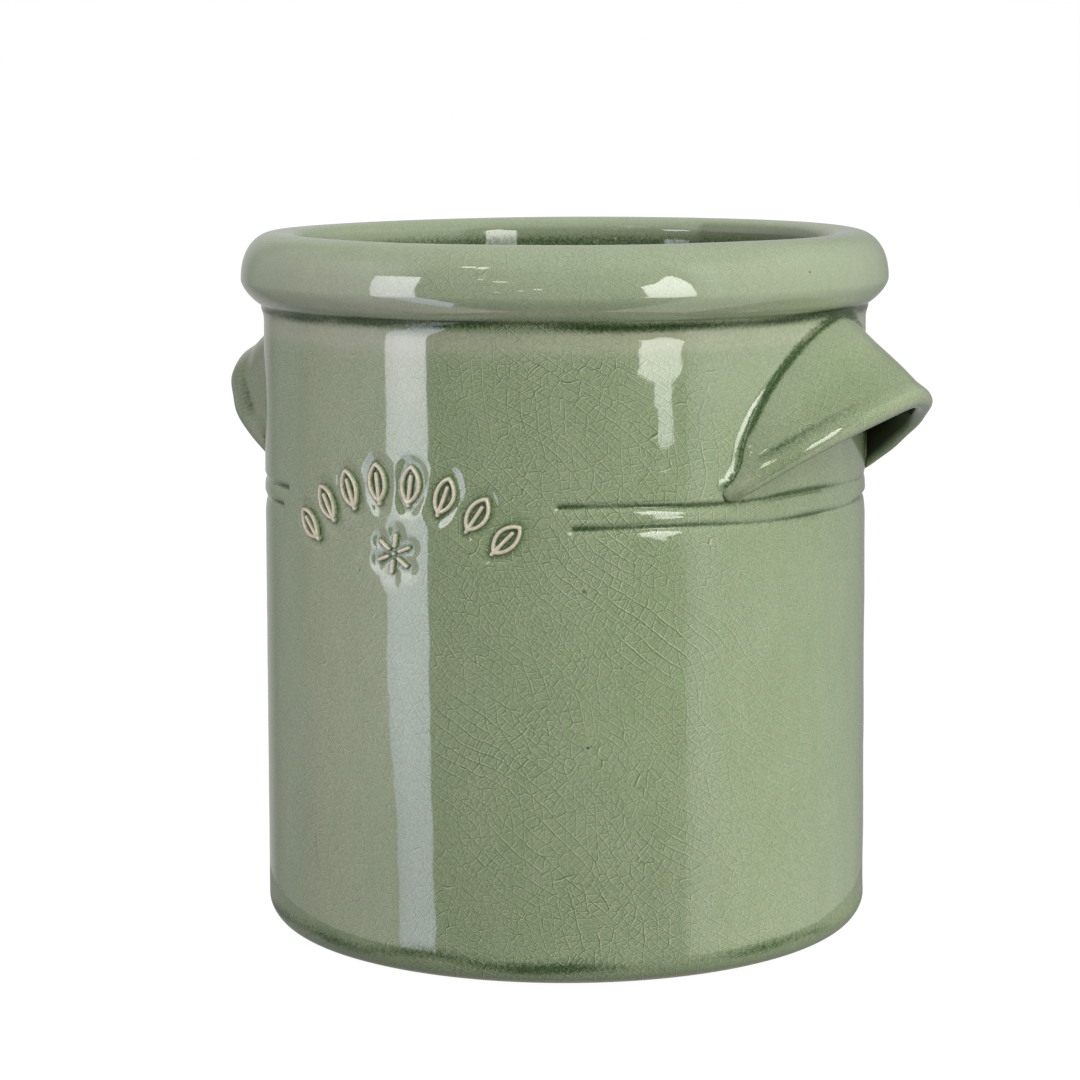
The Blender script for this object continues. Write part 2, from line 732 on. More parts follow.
def stroke_distance(x, y, strokes):
    """Distance of the points (x, y) from the nearest of the polylines."""
    best = np.full(x.shape, 1e9)
    for line in strokes:
        for (x0, y0), (x1, y1) in zip(line[:-1], line[1:]):
            dx, dy = x1 - x0, y1 - y0
            t = np.clip(((x - x0) * dx + (y - y0) * dy) / max(dx * dx + dy * dy, 1e-9), 0, 1)
            best = np.minimum(best, np.hypot(x - x0 - t * dx, y - y0 - t * dy))
    return best


def leaf_strokes(k):
    """Centre lines of leaf k's two edges and rib, in its own frame with the tip up."""
    half_l, half_w = LEAF_L / 2, LEAF_W / 2
    lean = np.random.RandomState(40 + k).uniform(-0.25, 0.25)
    edges = [
        [
            (side * (1 - t**2) ** 0.8 * half_w * 0.86 + lean * (1 - t * t), t * half_l * 0.86)
            for t in np.linspace(-1, 1, 15)
        ]
        for side in (-1, 1)
    ]
    return edges + [[(0.0, -half_l), (lean * 0.6, -half_l * 0.3), (lean, half_l * 0.42)]]


def flower_strokes(_=0):
    """Six petals and a dot."""
    out = []
    for i in range(6):
        angle = math.radians(60 * i + 8)
        out.append([(r * math.sin(angle), r * math.cos(angle)) for r in (1.75, 4.3)])
    return out + [[(0.0, 0.0), (0.02, 0.0)]]


def build_patches(name, node, stamps, strokes_of, half_w, half_h):
    """One closed shell per stamp, its top a height field that rises out of the wall."""
    cols, rows = (int(2 * half / PATCH_PITCH) + 1 for half in (half_w, half_h))
    x, y = np.meshgrid(np.linspace(-half_w, half_w, cols), np.linspace(-half_h, half_h, rows))
    edge = np.minimum(half_w - np.abs(x), half_h - np.abs(y))
    count = cols * rows
    ring = (
        [(0, j) for j in range(cols)]
        + [(i, cols - 1) for i in range(1, rows)]
        + [(rows - 1, j) for j in range(cols - 2, -1, -1)]
        + [(i, 0) for i in range(rows - 2, 0, -1)]
    )
    verts, faces, pool, thin = [], [], [], []
    for k, (along, z0, turn) in enumerate(stamps):
        start = 2 * count * k
        ridge = smooth(stroke_distance(x, y, strokes_of(k)), STROKE_W * 0.95, STROKE_W * 0.18)
        top = -STROKE_SINK + (STROKE_LIFT + STROKE_SINK) * ridge
        top = np.minimum(top, -STROKE_SINK + 2.5 * np.maximum(edge, 0))
        phi = (along + x * math.cos(turn) - y * math.sin(turn)) / MARK_R
        z = z0 + x * math.sin(turn) + y * math.cos(turn)
        for depth in (top, PATCH_BACK):
            verts.append(at_bearing(wall_r(z) + depth, phi, z))
        faces += grid_faces(rows, cols, False, start)
        faces += grid_faces(rows, cols, False, start + count, flip=True)
        border = [i * cols + j + start for i, j in ring]
        for a, b in zip(border, border[1:] + border[:1]):
            faces.append((b, a, a + count, b + count))
        thin += [smooth(top, STROKE_LIFT * 0.05, STROKE_LIFT * 0.85).ravel(), np.zeros(count)]
        pool += [smooth(top, STROKE_LIFT * 0.25, -0.45).ravel(), np.ones(count)]
    verts = np.concatenate(verts)
    attrs = {
        "pool": np.concatenate(pool),
        "thin": np.concatenate(thin),
        "bare": np.zeros(len(verts)),
    }
    add_mesh(name, node, verts, faces, attrs, verts[:, (0, 2)], "relief_glaze")


LEAVES = leaf_stamps()
FLOWER = (0.0, FLOWER_Z, 0.0)
build_patches(
    "stamped_leaves",
    "mark_garland",
    LEAVES,
    leaf_strokes,
    half_w=LEAF_W / 2 + LEAF_MARGIN,
    half_h=LEAF_L / 2 + LEAF_MARGIN,
)
build_patches(
    "stamped_flower", "mark_rosette", [FLOWER], flower_strokes, FLOWER_HALF, FLOWER_HALF
)

# ------------------------------------------------------------------- the body

FOOT, HEEL, WALL, RIM, INSIDE = range(5)  # parts of the profile
# the wall's rows from the heel up: (height reached, spacing)
WALL_ROWS = ((94, 1.6), (103.6, 0.5), (112.6, 0.3), (144, 0.55), (NECK_Z - 0.9, 0.5))
NECK_FILLET = 7.5
RIM_ROLL_R, RIM_ROLL_DROP = 7.3, 6.8  # the rim's underside, in from and below its widest circle
RIM_TOP_W = 8.6  # from the widest circle in to the top of the rim
MOUTH_DROP = 3.2  # height of the mouth's rounded inner edge
MOUTH_FLARE, FLARE_Z = 1.0, 150
FLOOR_FILLET = 9
# incised rings: height, half-width of the gap for the mark, seed, and the length and
# depth of the soft ramp below the cut
RINGS = (
    (110.5, math.radians(30.3), 7, 2.4, 0.22),
    (105.4, math.radians(32.8), 9, 4.6, 0.46),
)


def columns():
    """Bearings of the columns: closest across the mark and by the handles' creases."""
    fine = [(-34.0, 34.0, 0.5)]  # from, to, spacing, in degrees
    for centre, _ in HANDLES.values():
        centre = math.degrees(centre)
        fine += [(centre - 31, centre - 18, 0.38), (centre + 18, centre + 31, 0.38)]
    angle, out = -180.0, []
    while angle < 180.0 - 1e-6:
        out.append(angle)
        step = 1.5
        for lo, hi, closest in fine:
            for k in (-360, 0, 360):
                away = max(lo + k - angle, angle - hi - k, 0)
                step = min(step, closest + away * 0.12)
        angle += step
    out = np.array(out)
    return np.radians(-180 + (out + 180) * 360.0 / (angle + 180))


def spaced(start, end, step):
    count = max(2, int(round(abs(end - start) / step)) + 1)
    return list(np.linspace(start, end, count))


def quarter(start, end, count):
    """(cosine, sine) at even steps, in degrees."""
    return [(math.cos(t), math.sin(t)) for t in np.radians(np.linspace(start, end, count))]


def body_profile():
    """(radius, height, part) rows from mid-foot, up the outside, over the rim and down inside."""
    foot_in = FOOT_R - 15.5
    rows = [(r, 1.0 - 0.12 * (r / foot_in) ** 2, FOOT) for r in spaced(6, foot_in, 9)]
    for r, z in ((foot_in + 1.1, 0.45), (foot_in + 1.8, 0.1), (foot_in + 2.6, 0), (FOOT_R - 9, 0)):
        rows.append((r, z, FOOT))
    for c, s in quarter(0, 90, 15):
        rows.append((FOOT_R - HEEL_W * (1 - s), HEEL_H * (1 - c), HEEL))
    start = HEEL_H
    for end, step in WALL_ROWS:
        for z in spaced(start, end, step)[1:]:
            run = max(0.0, z - (NECK_Z - 3.9))
            fillet = NECK_FILLET - math.sqrt(NECK_FILLET**2 - run**2)
            rows.append((wall_r(z) + fillet, z, WALL))
        start = end
    # the rim's sloping underside and full top, both superellipses
    full = RIM_R - 0.1
    for c, s in quarter(-63, 0, 20):
        z = RIM_Z - RIM_ROLL_DROP * abs(s) ** (2 / 1.5)
        rows.append((full - RIM_ROLL_R + RIM_ROLL_R * c ** (2 / 1.5), z, RIM))
    top_r = full - RIM_TOP_W
    for c, s in quarter(0, 90, 25)[1:]:
        z = RIM_Z + (HEIGHT - RIM_Z) * s ** (2 / 2.2)
        rows.append((top_r + RIM_TOP_W * max(c, 0) ** (2 / 2.2), z, RIM))
    mouth_z = HEIGHT - MOUTH_DROP
    for c, s in quarter(90, 180, 15)[1:]:
        rows.append((top_r + (top_r - BORE_R - MOUTH_FLARE) * c, mouth_z + MOUTH_DROP * s, RIM))
    fillet_z = FLOOR_Z + FLOOR_FILLET
    for z in spaced(mouth_z, 135, 1.25)[1:] + spaced(135, fillet_z, 2.3)[1:]:
        flare = MOUTH_FLARE * max(0.0, (z - FLARE_Z) / (mouth_z - FLARE_Z))
        rows.append((BORE_R + flare, z, INSIDE))
    fillet_r = BORE_R - FLOOR_FILLET
    for c, s in quarter(0, -90, 9)[1:]:
        rows.append((fillet_r + FLOOR_FILLET * c, fillet_z + FLOOR_FILLET * s, INSIDE))
    rows += [(r, FLOOR_Z, INSIDE) for r in spaced(fillet_r, 6, 7)[1:]]
    return np.array(rows)


def ring_cut(phi, z):
    """(depth, pool) of the two incised rings."""
    depth, pool = np.zeros_like(z), np.zeros_like(z)
    for ring_z, gap, seed, ramp, soft in RINGS:
        dz = z - (ring_z + 0.30 * ring_ripple(phi, seed, 6, 9))
        inside = smooth(np.abs(phi), gap - 0.004, gap + 0.012)
        strength = np.clip(0.72 + 0.26 * ring_ripple(phi, seed + 20, 9, 14), 0.22, 1.05)
        strength = np.maximum(strength, 1.05 * smooth(np.abs(phi), gap + 0.16, gap + 0.05))
        groove = hump(dz, 0.74, 2.2) * inside
        lip = hump(dz - 1.35, 0.5) * inside
        depth = np.maximum(depth, 0.70 * groove * strength) - 0.07 * lip * strength
        run = ramp * (1 + 0.22 * ring_ripple(phi, seed + 3, 5, 22))
        down = np.clip((-dz - 0.5) / run, 0, 1)
        depth += soft * (1 - down) ** 2 * smooth(-dz, 0.0, 0.6) * inside
        wash = 0.30 + 0.12 * smooth(phi, 1.0, 1.25)
        pool = np.maximum.reduce([
            pool,
            hump(dz, 0.66) * inside * (0.25 + 0.75 * strength),
            wash * hump(dz, 1.9) * inside * strength,
        ])
    return depth, pool


def mark_pocket(phi, z):
    """(depth, pool) of the pressed pockets round the mark's strokes."""
    along = phi * MARK_R
    depth, pool = np.zeros_like(z), np.zeros_like(z)
    near = (np.abs(along) < 42) & (z > 88) & (z < 125)
    x, y = along[near], z[near]
    pressed, pooled = np.zeros(x.shape), np.zeros(x.shape)
    pressings = [(stamp, leaf_strokes(k)) for k, stamp in enumerate(LEAVES)]
    for (x0, z0, turn), strokes in pressings + [(FLOWER, flower_strokes())]:
        local_x = (x - x0) * math.cos(turn) + (y - z0) * math.sin(turn)
        local_y = -(x - x0) * math.sin(turn) + (y - z0) * math.cos(turn)
        dist = stroke_distance(local_x, local_y, strokes)
        wobble = 0.25 * np.sin(local_x * 1.3 + x0) + 0.2 * np.cos(local_y * 1.1 + z0)
        pressed = np.maximum(pressed, smooth(dist, 3.3 + wobble, 1.2))
        pooled = np.maximum(pooled, smooth(dist, 2.3 + wobble, 0.7))
    depth[near] = 0.46 * pressed
    pool[near] = 0.58 * pooled
    return depth, pool


def crease_dip(phi, z):
    """(depth, pool) where the handles' skins meet the wall."""
    depth, pool = np.zeros_like(z), np.zeros_like(z)
    fillet = 4.0
    for centre, _ in HANDLES.values():
        near = (np.abs(wrap(phi - centre)) < math.radians(38)) & (z > 102) & (z < 153)
        x, y = wrap(phi[near] - centre) * FOOT_R, z[near]
        own = CROSSINGS[np.abs(wrap(CROSSINGS[:, 0] - centre)) < math.radians(36)]
        own_x, own_y, own_weight = wrap(own[:, 0] - centre) * FOOT_R, own[:, 1], own[:, 2]
        best, weight = np.full(x.shape, 1e9), np.ones(x.shape)
        for first in range(0, len(x), 20000):
            part = slice(first, first + 20000)
            dist = np.hypot(x[part, None] - own_x[None, :], y[part, None] - own_y[None, :])
            k = dist.argmin(1)
            best[part] = dist[np.arange(len(k)), k]
            weight[part] = own_weight[k]
        # the slip was smoothed into a hollow fillet that climbs towards the handle
        run = np.clip(2.9 - best, 0, None)
        depth[near] = -(fillet - np.sqrt(fillet**2 - run**2)) * weight
        pool[near] = np.maximum(hump(best, 0.95, 4), 0.24 * hump(best, 3.4)) * weight
    return depth, pool


def heel_band(phi, z):
    """The soft band of glaze gathered just above the turned edge."""
    dz = z - (5.4 + 0.5 * ring_ripple(phi, 18, 7, 14))
    return hump(dz, np.where(dz > 0, 2.1, 1.7))


def body_form(phi, radius, z, part):
    """How far a thrown and hand-finished wall stands off the profile, before any cuts."""
    outer = (part == HEEL) | (part == WALL)
    inner = part == INSIDE
    soft = ripple(phi, z, 3, waves=14, most_lobes=9, shortest=14, longest=60, power=0.08)
    wander = ripple(phi, z, 5, waves=5, most_lobes=3, shortest=40, longest=90)
    throw = np.cos(TAU * z / 8.3 + phi + 0.7 * wander)
    oval = 0.10 * np.cos(2 * phi + 0.6) + 0.05 * np.cos(3 * phi + 2.0)
    out = outer * (0.022 * soft + 0.006 * throw + oval) * smooth(z, 0.5, 12)
    out += (part == RIM) * (0.03 * soft + oval)
    turning = np.cos(TAU * z / 7.0 + phi + 0.5 * soft)
    side = inner & (z > FLOOR_Z + 8)
    out += side * -0.16 * turning * smooth(z, HEIGHT - 8, HEIGHT - 20)
    out += (inner & ~side) * 0.10 * np.cos(TAU * radius / 9.0 + phi)
    return out + 0.06 * outer * heel_band(phi, z)


def handle_shade(phi, z):
    """The dark of the wall behind each handle's hollow."""
    shade = np.zeros_like(z)
    for which, (centre, _) in HANDLES.items():
        away = np.abs(wrap(phi - centre))
        k = np.clip(away / LIP_HALF, 0, 1)
        lip_z = lip_height(k) + LIFT[which]
        t = np.arcsin(np.clip(away / ARCH_HALF, 0, 1) ** (1 / ARCH_POWER))
        arch_z = arch_height(t) + LIFT[which]
        inside = smooth(z, arch_z - 1.0, arch_z - 5.0) * smooth(k, 0.98, 0.75)
        shade = np.maximum(shade, 0.9 * inside * smooth(z, lip_z - 4.5, lip_z + 2))
    return shade


def body_glaze(phi, radius, z, part, cut_pools):
    """The body's glaze attributes."""
    wall, rim, inner = part == WALL, part == RIM, part == INSIDE
    outer = (part == HEEL) | wall
    by_neck = (wall | rim) * (radius < 75.4)
    neck_dz = z - (NECK_Z - 0.35 + 0.25 * ring_ripple(phi, 12, 6, 12))
    neck_amount = np.clip(0.90 + 0.14 * ring_ripple(phi, 15, 8, 22), 0.6, 1.05)
    heel_amount = 0.68 + 0.12 * ring_ripple(phi, 19, 9, 26) - 0.22 * smooth(phi, 0.5, 1.0)
    pool = np.maximum.reduce([
        *((wall | rim) * pool for pool in cut_pools),
        by_neck * hump(neck_dz, np.where(neck_dz > 0, 1.0, 1.55)) * neck_amount,
        wall * 0.12 * smooth(z, NECK_Z - 3.0, NECK_Z - 1.2),
        outer * heel_band(phi, z) * np.clip(heel_amount, 0.30, 0.9),
        outer * 0.26 * smooth(z, 13.0, 6.0) * smooth(z, 2.0, 4.5),
        # inside, the glaze thickens down the wall
        inner * 0.76 * smooth(z, HEIGHT - 2.4, HEIGHT - 6.6),
        inner * (z < FLOOR_Z + 6) * 0.75,
    ])
    under_neck = smooth(z, NECK_Z - 10.5, NECK_Z - 5.0) * smooth(z, NECK_Z - 1.4, NECK_Z - 2.6)
    roll = smooth(z, RIM_Z - 0.5, RIM_Z - 3.5) * smooth(z, NECK_Z + 1.0, NECK_Z + 2.0)
    thin = np.maximum.reduce([
        (part == HEEL) * 0.75 * smooth(z, 2.2, 0.9),
        wall * 0.40 * under_neck,
        rim * 0.42 * roll,
    ])
    # greyer over the rim and under the neck, and paler on the wall above the right handle
    beside = smooth(phi, math.radians(48), math.radians(62))
    beside = beside * smooth(phi, math.radians(100), math.radians(84))
    tone = np.maximum.reduce([
        rim * smooth(z, NECK_Z - 0.5, NECK_Z + 1.2),
        wall * under_neck,
        inner * 0.5 * smooth(z, HEIGHT - 5.0, HEIGHT - 3.2),
        wall * 0.7 * beside * smooth(z, 122, 140) * smooth(z, NECK_Z - 1, NECK_Z - 4),
    ])
    within = inner | (rim & (radius < RIM_R - 9.0))
    mouth_shade = 0.06 + 0.30 * smooth(phi, math.radians(120), math.radians(150))
    hollow = np.maximum.reduce([
        wall * handle_shade(phi, z),
        (0.28 + 0.34 * smooth(phi, 0.3, 1.2)) * by_neck * hump(neck_dz + 0.2, 1.0),
        outer * 0.09 * smooth(z, 62, 18) * smooth(phi, 1.25, 0.85),
        within * mouth_shade * smooth(z, HEIGHT - 0.2, HEIGHT - 2.0),
    ])
    bare = (part == FOOT) | ((part == HEEL) & (z < 0.25))
    return {"pool": pool, "thin": thin, "bare": bare, "tone": tone, "hollow": hollow}


def build_body():
    bearings = columns()
    profile = body_profile()
    rows, cols = len(profile), len(bearings)
    slope = np.gradient(profile[:, :2], axis=0)
    normal = unit(np.stack([slope[:, 1], -slope[:, 0]], -1))
    grids = np.broadcast_arrays(bearings[None, :], *(profile[:, k : k + 1] for k in range(3)))
    phi, radius, z, part = (grid.copy() for grid in grids)

    out = body_form(phi, radius, z, part)
    cut_pools = []
    for cut in (ring_cut, mark_pocket, crease_dip):
        depth, pool = cut(phi, z)
        out -= (part == WALL) * depth
        cut_pools.append(pool)
    points = at_bearing(radius + out * normal[:, 0:1], phi, z + out * normal[:, 1:2])

    # the centres of the foot and of the floor inside close the ends
    foot, floor = rows * cols, rows * cols + 1
    points = np.concatenate([points, [[0, 0, profile[0, 1]], [0, 0, profile[-1, 1]]]])
    faces = grid_faces(rows, cols)
    for j in range(cols):
        k = (j + 1) % cols
        faces.append((foot, k, j))
        faces.append((floor, (rows - 1) * cols + j, (rows - 1) * cols + k))
    centres = {"pool": [0, 0.75], "bare": [1, 0]}
    attrs = {
        key: np.concatenate([np.asarray(values, float).ravel(), centres.get(key, [0, 0])])
        for key, values in body_glaze(phi, radius, z, part, cut_pools).items()
    }
    climb = path_length(profile[:, :2])
    skin = np.broadcast_arrays((bearings * FOOT_R)[None, :], climb[:, None])
    skin = np.concatenate([np.stack(skin, -1).reshape(-1, 2), [[0, 0], [0, climb[-1]]]])
    add_mesh(
        "crock_thrown", "crock_body", points, faces, attrs, skin, "celadon_glaze",
        around=TAU * FOOT_R,
    )


build_body()

# -------------------------------------------------------------- weight stones


def build_stone(which):
    """A half-moon stone: the CAD solid softened into a hand-pressed, glazed shape."""
    node = f"weight_stone_{which}"
    lowest, highest = (corner.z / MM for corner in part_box(node))
    obj = bpy.data.objects.new(f"{node}_pressed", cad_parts[node].data.copy())
    bpy.context.scene.collection.objects.link(obj)
    bpy.context.view_layer.objects.active = obj
    remesh = obj.modifiers.new("remesh", "REMESH")
    remesh.mode = "VOXEL"
    remesh.voxel_size = 1.1 * MM
    remesh.use_smooth_shade = True
    soften = obj.modifiers.new("soften", "SMOOTH")
    soften.factor = 0.5
    soften.iterations = 7
    depsgraph = bpy.context.evaluated_depsgraph_get()
    mesh = bpy.data.meshes.new_from_object(obj.evaluated_get(depsgraph), depsgraph=depsgraph)
    bpy.data.objects.remove(obj)

    x, y, z = mesh_points(mesh).T
    faces = [tuple(poly.vertices) for poly in mesh.polygons]
    wobble = 0.16 * np.sin(x / 7.0 + 1.1) * np.cos(y / 9.0) + 0.10 * np.sin(y / 4.3 + x / 5.1)
    middle = (lowest + highest) / 2
    upper = smooth(z, middle - 4, middle + 6)
    z = np.maximum(z + wobble * upper - 0.25 * upper, lowest)
    far = np.hypot(x, y)
    edge = smooth(far, far.max() - 5, far.max() - 0.5)
    attrs = {
        "pool": 0.25 * smooth(z, middle, lowest + 1),
        "thin": 0.55 * smooth(z, highest - 3.2, highest - 1.2) * edge,
        "bare": smooth(z, lowest + 0.9, lowest + 0.3),
    }
    points, skin = np.stack([x, y, z], -1), np.stack([x, y - z], -1)
    add_mesh(
        f"{node}_pressed", node, points, faces, attrs, skin, "stone_glaze", body=f"stone_{which}"
    )
    bpy.data.meshes.remove(mesh)


for which in HANDLES:
    build_stone(which)

# ---------------------------------------------------------------------- floor

VIEW_AZ = math.radians(32.1)  # bearing of the camera from the front of the crock

bpy.ops.mesh.primitive_plane_add(size=8.0, location=(0, 0, 0))
floor = bpy.context.object
floor.name = "floor"
floor_mat, graph = new_material("floor_white")
paper = {
    "Base Color": (0.08, 0.08, 0.08),
    "Roughness": 1.0,
    "Specular IOR Level": 0.0,
    "Emission Color": (1, 1, 1),
    "Emission Strength": 0.97,
}
graph.node("OutputMaterial", {"Surface": graph.node("BsdfPrincipled", paper)}, None)
floor.data.materials.append(floor_mat)
floor.visible_glossy = False
floor.visible_diffuse = False

# ---------------------------------------------------------------------- world
# Soft light for the diffuse colour, and a separate surround for the glaze to mirror.
# Bearings here are in degrees from the camera, positive to its right.

# the surround: bearing, red, green, blue
AROUND = (
    (-180, 0.50, 0.50, 0.50), (-165, 0.50, 0.50, 0.48), (-156, 0.43, 0.43, 0.43),
    (-148, 0.30, 0.29, 0.29), (-143, 0.35, 0.35, 0.35), (-137, 0.46, 0.46, 0.46),
    (-128, 0.60, 0.60, 0.60), (-117, 0.76, 0.72, 0.74), (-107, 1.17, 1.02, 1.00),
    (-95, 1.60, 1.42, 1.42), (-84, 1.80, 1.60, 1.68), (-70.1, 1.95, 1.78, 1.85),
    (-52, 0.10, 0.10, 0.10), (27, 0.10, 0.10, 0.10), (45.2, 0.12, 0.12, 0.12),
    (46.2, 1.0, 1.0, 1.0), (53, 1.70, 1.70, 1.65), (60, 1.60, 1.62, 1.38),
    (88, 1.50, 1.50, 1.30), (100, 1.33, 1.35, 1.20), (109, 1.15, 1.15, 1.05),
    (119, 0.98, 1.00, 0.92), (127, 0.83, 0.83, 0.83), (135, 0.62, 0.62, 0.62),
    (142, 0.56, 0.56, 0.56), (150, 0.42, 0.42, 0.42), (158, 0.34, 0.34, 0.34),
    (165, 0.33, 0.33, 0.33), (180, 0.50, 0.50, 0.50),
)
AROUND_MAX = 2.5  # brightness that the ramp's 1 stands for
# small bright panels: bearing, elevation, half-width, half-height, power
GLINTS = (
    (-42, 47, 3.6, 1.5, 10.0), (-35, 46, 2.0, 2.6, 10.0), (-22.5, 18.7, 2.6, 1.0, 10.0),
    (-9, 7.3, 1.4, 0.8, 9.0), (-14.4, 5.0, 1.0, 0.7, 7.0), (-22.6, 2.6, 0.8, 0.8, 6.0),
    (-30, 23, 1.2, 1.2, 6.0),
)
GLINT_COLOUR = (1.0, 0.95, 0.70)
# broad soft lights: bearing, elevation, tightness, strength
LOBES = ((39, 20, 1.5, 1.813), (-124, 15, 1.5, 0.97), (0, 80, 1.0, 0.145), (172, 20, 2.0, 0.611))
LEAST_LIGHT = 0.12
SIDE_TINT = (-0.035, 0.0, -0.10)  # change of red, green and blue towards the camera's right


def window(x, middle, half, soft):
    low, high = middle - half, middle + half
    return x.step(low - soft, low + soft) * x.step(high + soft, high - soft)


def mirror_surround(graph, bearing, elevation):
    ramp = graph.node("ValToRGB", {0: (bearing + 180.0) / 360.0}, None)
    ramp.color_ramp.interpolation = "LINEAR"
    stops = ramp.color_ramp.elements
    for k, (angle, *colour) in enumerate(AROUND):
        at = (angle + 180) / 360
        stop = stops[k] if k < 2 else stops.new(at)
        stop.position = at
        stop.color = (*(c / AROUND_MAX for c in colour), 1)
    sides = graph.scale(ramp.outputs[0], AROUND_MAX)
    mirror = graph.mix(elevation.step(30, 60), sides, (0.45, 0.45, 0.44))
    for at, high, half_w, half_h, power in GLINTS:
        mask = window(bearing, at, half_w, soft=0.4) * window(elevation, high, half_h, soft=0.3)
        glow = mask * power
        mirror = graph.mix(1.0, mirror, graph.combine(*(glow * c for c in GLINT_COLOUR)), "ADD")
    return mirror


def diffuse_light(graph, direction, to_right, upward):
    lit = LEAST_LIGHT
    for angle, elevation, tightness, strength in LOBES:
        phi, el = math.radians(angle) + VIEW_AZ, math.radians(elevation)
        way = (math.sin(phi) * math.cos(el), -math.cos(phi) * math.cos(el), math.sin(el))
        facing = graph.vmath("DOT_PRODUCT", direction, way).max(0.0)
        lit = facing.math("POWER", tightness).mul_add(strength, lit)
    lit = lit * upward.step(-0.35, 0.05, lo=0.56, hi=0.95)
    return graph.combine(*(lit * to_right.mul_add(k, 1.0) for k in SIDE_TINT))


def build_world():
    world = bpy.data.worlds.new("studio")
    bpy.context.scene.world = world
    world.use_nodes = True
    graph = Graph(world.node_tree)
    direction = graph.vmath("NORMALIZE", graph.node("TexCoord", None, "Generated"))
    cos, sin = math.cos(VIEW_AZ), math.sin(VIEW_AZ)
    to_right, away, upward = (
        graph.vmath("DOT_PRODUCT", direction, axis)
        for axis in ((cos, sin, 0.0), (-sin, cos, 0.0), (0.0, 0.0, 1.0))
    )
    bearing = to_right.math("ARCTAN2", away * -1.0) * (180 / math.pi)
    elevation = upward.math("ARCSINE") * (180 / math.pi)
    mirror = mirror_surround(graph, bearing, elevation)
    soft_light = diffuse_light(graph, direction, to_right, upward)
    rays = graph.node("LightPath", None, None).outputs
    seen = graph.mix(rays["Is Glossy Ray"], soft_light, mirror)
    seen = graph.mix(rays["Is Camera Ray"], seen, (1.0, 1.0, 1.0))
    background = graph.node("Background", {"Color": seen, "Strength": 1.0})
    graph.node("OutputWorld", {"Surface": background}, None)
    world.cycles.sampling_method = "NONE"


build_world()

# ------------------------------------------------------------ mirrored lights
# Two lights near the crock, and the edge of the board it stands on, that only the
# glaze's mirror sees. Uprights are (x, y) in the camera's frame: x right, y away.

FULL_GLOW = 12  # brightness that a colour of 1 stands for
HIDDEN_FROM = ("camera", "diffuse", "transmission", "shadow", "volume_scatter")


def mirrored(name, outline, colour_at, faces, least=0.05):
    """A light from (x, y, z, shade) corners; colour_at: (height, colour), low to high.

    A ray off the crock's very edge sees it dimmed to `least`, or the edge would burn out.
    """
    turn = Matrix.Rotation(VIEW_AZ, 3, "Z")
    mesh = bpy.data.meshes.new(name)
    mesh.from_pydata([turn @ Vector(corner[:3]) * MM for corner in outline], [], faces)
    shade = mesh.attributes.new("shade", "FLOAT", "POINT")
    shade.data.foreach_set("value", np.array([corner[3] for corner in outline], np.float32))

    mat, graph = new_material(name)
    height = graph.separate(graph.mm())[2]
    levels = [(z, tuple(c / FULL_GLOW for c in colour)) for z, colour in colour_at]
    colour = levels[0][1]
    for (z0, _), (z1, upper) in zip(levels[:-1], levels[1:]):
        colour = graph.mix(height.step(z0, z1, kind="LINEAR"), colour, upper)
    spot = graph.node("NewGeometry", None, None).outputs
    past = graph.separate(graph.vmath("CROSS_PRODUCT", spot["Position"], spot["Incoming"]))
    dim = past[2].math("ABSOLUTE").step(0.056, 0.068, lo=1.0, hi=least)
    strength = graph.attr("shade") * float(FULL_GLOW) * dim
    glow = graph.node("Emission", {"Color": colour, "Strength": strength})
    graph.node("OutputMaterial", {"Surface": glow}, None)
    mat.cycles.emission_sampling = "NONE"
    mesh.materials.append(mat)
    obj = bpy.data.objects.new(name, mesh)
    bpy.context.scene.collection.objects.link(obj)
    for ray in HIDDEN_FROM:
        setattr(obj, f"visible_{ray}", False)


def between(first, last, corners):
    """Places (fraction from first to last upright, height, shade) corners."""
    (x0, y0), (x1, y1) = first, last
    return [(x0 + (x1 - x0) * s, y0 + (y1 - y0) * s, z, shade) for s, z, shade in corners]


STRIP_UPRIGHTS = (-325, -164), (-405, -357)
# height, and the fractions where the strip starts and ends
STRIP_LEVELS = (
    (-500, 0.17, 1.22), (-130, 0.17, 1.22), (-85, 0.17, 1.12),
    (-50, 0.19, 1.06), (10, 0.0, 1.0), (270, 0.0, 1.0),
)
STRIP_SHADES = ((0.0, 0.84), (0.16, 0.93), (0.3, 1.0), (1.0, 1.0))  # part of the width, shade
STRIP_TOP = ((0.0, 275, 0.84), (0.16, 289, 0.93), (0.3, 301, 1.0), (1.0, 361, 1.0))
strip = [
    (start + (end - start) * t, z, shade)
    for z, start, end in STRIP_LEVELS
    for t, shade in STRIP_SHADES
]
mirrored(
    "strip_light",
    between(*STRIP_UPRIGHTS, strip + list(STRIP_TOP)),
    (
        (-45, (3.8, 3.9, 5.0)), (35, (5.1, 5.4, 6.4)),
        (120, (8.0, 7.7, 8.5)), (300, (9.0, 9.2, 9.4)),
    ),
    grid_faces(len(STRIP_LEVELS) + 1, len(STRIP_SHADES), wrap_cols=False),
)

WINDOW_UPRIGHTS = (133.6, -292.6), (204.6, -244)
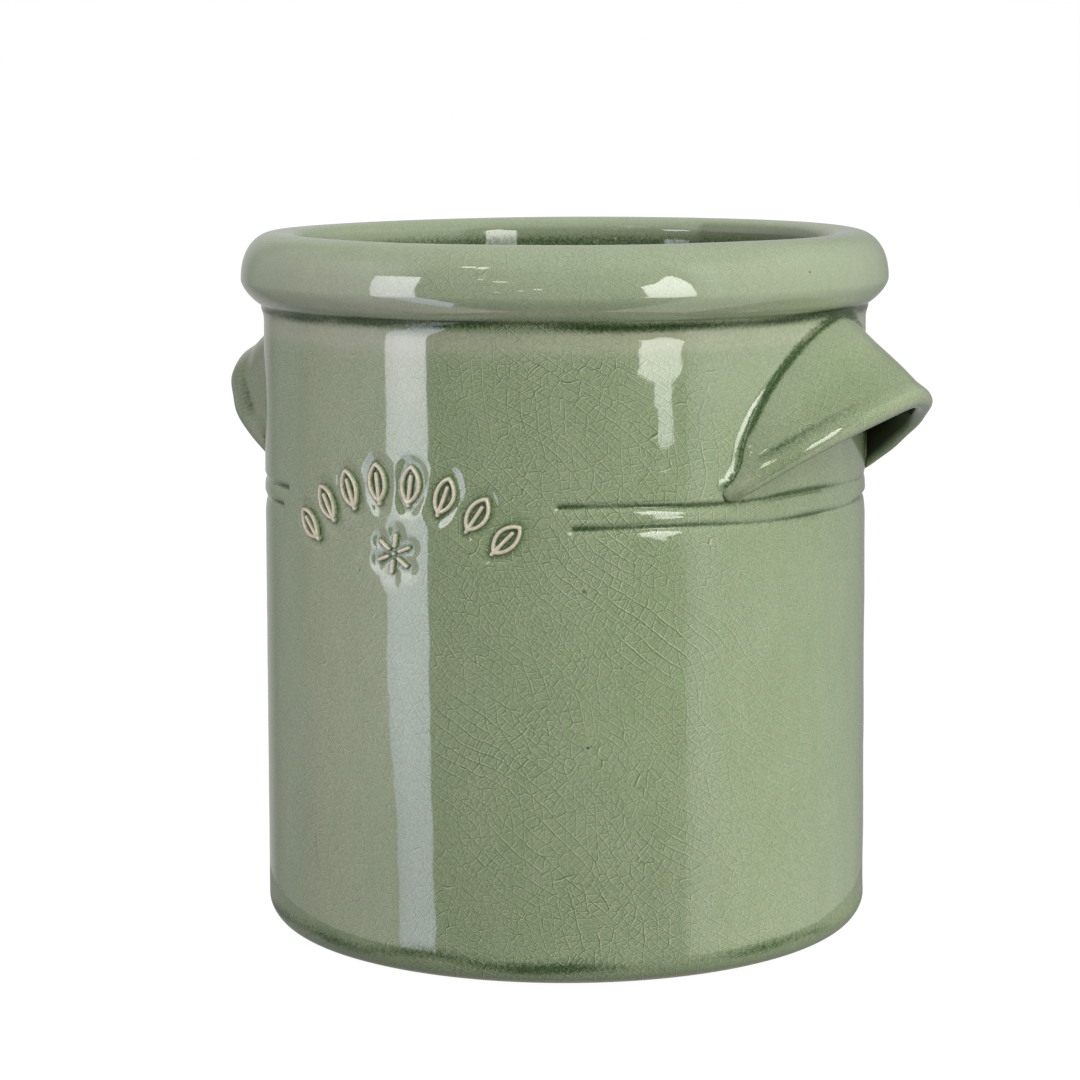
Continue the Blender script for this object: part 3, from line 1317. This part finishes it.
# (fraction, height): the middle, then the outline round it
WINDOW = (
    (0.5, 150),
    (0.04, 129), (-0.06, 124), (0.01, 121), (0.13, 118), (0.30, 116), (0.37, 112), (0.30, 108),
    (0.45, 104), (0.38, 98), (0.43, 94.5), (0.57, 94.5), (0.74, 98), (0.66, 102), (0.70, 111),
    (0.72, 116), (0.86, 120), (0.93, 124), (1.0, 129), (1.03, 152), (1.0, 172), (0.90, 211),
    (0.79, 252), (0.66, 278), (0.52, 284), (0.22, 228), (-0.09, 204), (-0.02, 170),
)
mirrored(
    "window_light",
    between(*WINDOW_UPRIGHTS, [(s, z, 1) for s, z in WINDOW]),
    (
        (94, (5.0, 5.2, 5.2)), (112, (6.6, 6.8, 6.6)),
        (135, (9.0, 8.9, 8.5)), (200, (11.5, 11.3, 10.8)),
    ),
    [(0, i, i % (len(WINDOW) - 1) + 1) for i in range(1, len(WINDOW))],
)

BOARD_R, BOARD_Z, BOARD_SIDES = 97, -0.5, 72
BOARD_GREY = (0.25, 0.25, 0.25)
turns = np.linspace(0, TAU, BOARD_SIDES + 1)[:-1]
mirrored(
    "board",
    [(BOARD_R * math.cos(t), BOARD_R * math.sin(t), BOARD_Z, 1.0) for t in turns],
    ((-1, BOARD_GREY), (1, BOARD_GREY)),
    [tuple(range(BOARD_SIDES))],
    least=1.0,
)

# --------------------------------------------------------------------- camera

CAM_DISTANCE, CAM_HEIGHT = 10.742 * FOOT_R, 2.810 * FOOT_R
YAW, PITCH, ROLL = -0.00788, 0.14316, -0.0039
LENS, SENSOR = 108.35, 36


def build_camera():
    turn = Matrix.Rotation(VIEW_AZ, 3, "Z")
    forward = turn @ Vector((math.sin(YAW), math.cos(YAW), 0))
    right = turn @ Vector((math.cos(YAW), -math.sin(YAW), 0))
    up = Vector((0, 0, 1))
    look = forward * math.cos(PITCH) - up * math.sin(PITCH)
    upright = forward * math.sin(PITCH) + up * math.cos(PITCH)
    axis_x = right * math.cos(ROLL) + upright * math.sin(ROLL)
    axis_y = -right * math.sin(ROLL) + upright * math.cos(ROLL)
    data = bpy.data.cameras.new("camera")
    data.lens = LENS
    data.sensor_width = SENSOR
    data.clip_start = 0.01
    data.clip_end = 60
    camera = bpy.data.objects.new("camera", data)
    pose = Matrix((axis_x, axis_y, -look)).transposed().to_4x4()
    pose.translation = turn @ Vector((0, -CAM_DISTANCE, CAM_HEIGHT)) * MM
    camera.matrix_world = pose
    bpy.context.scene.collection.objects.link(camera)
    bpy.context.scene.camera = camera


build_camera()
bpy.context.scene.view_settings.view_transform = "Standard"
bpy.context.scene.view_settings.look = "None"
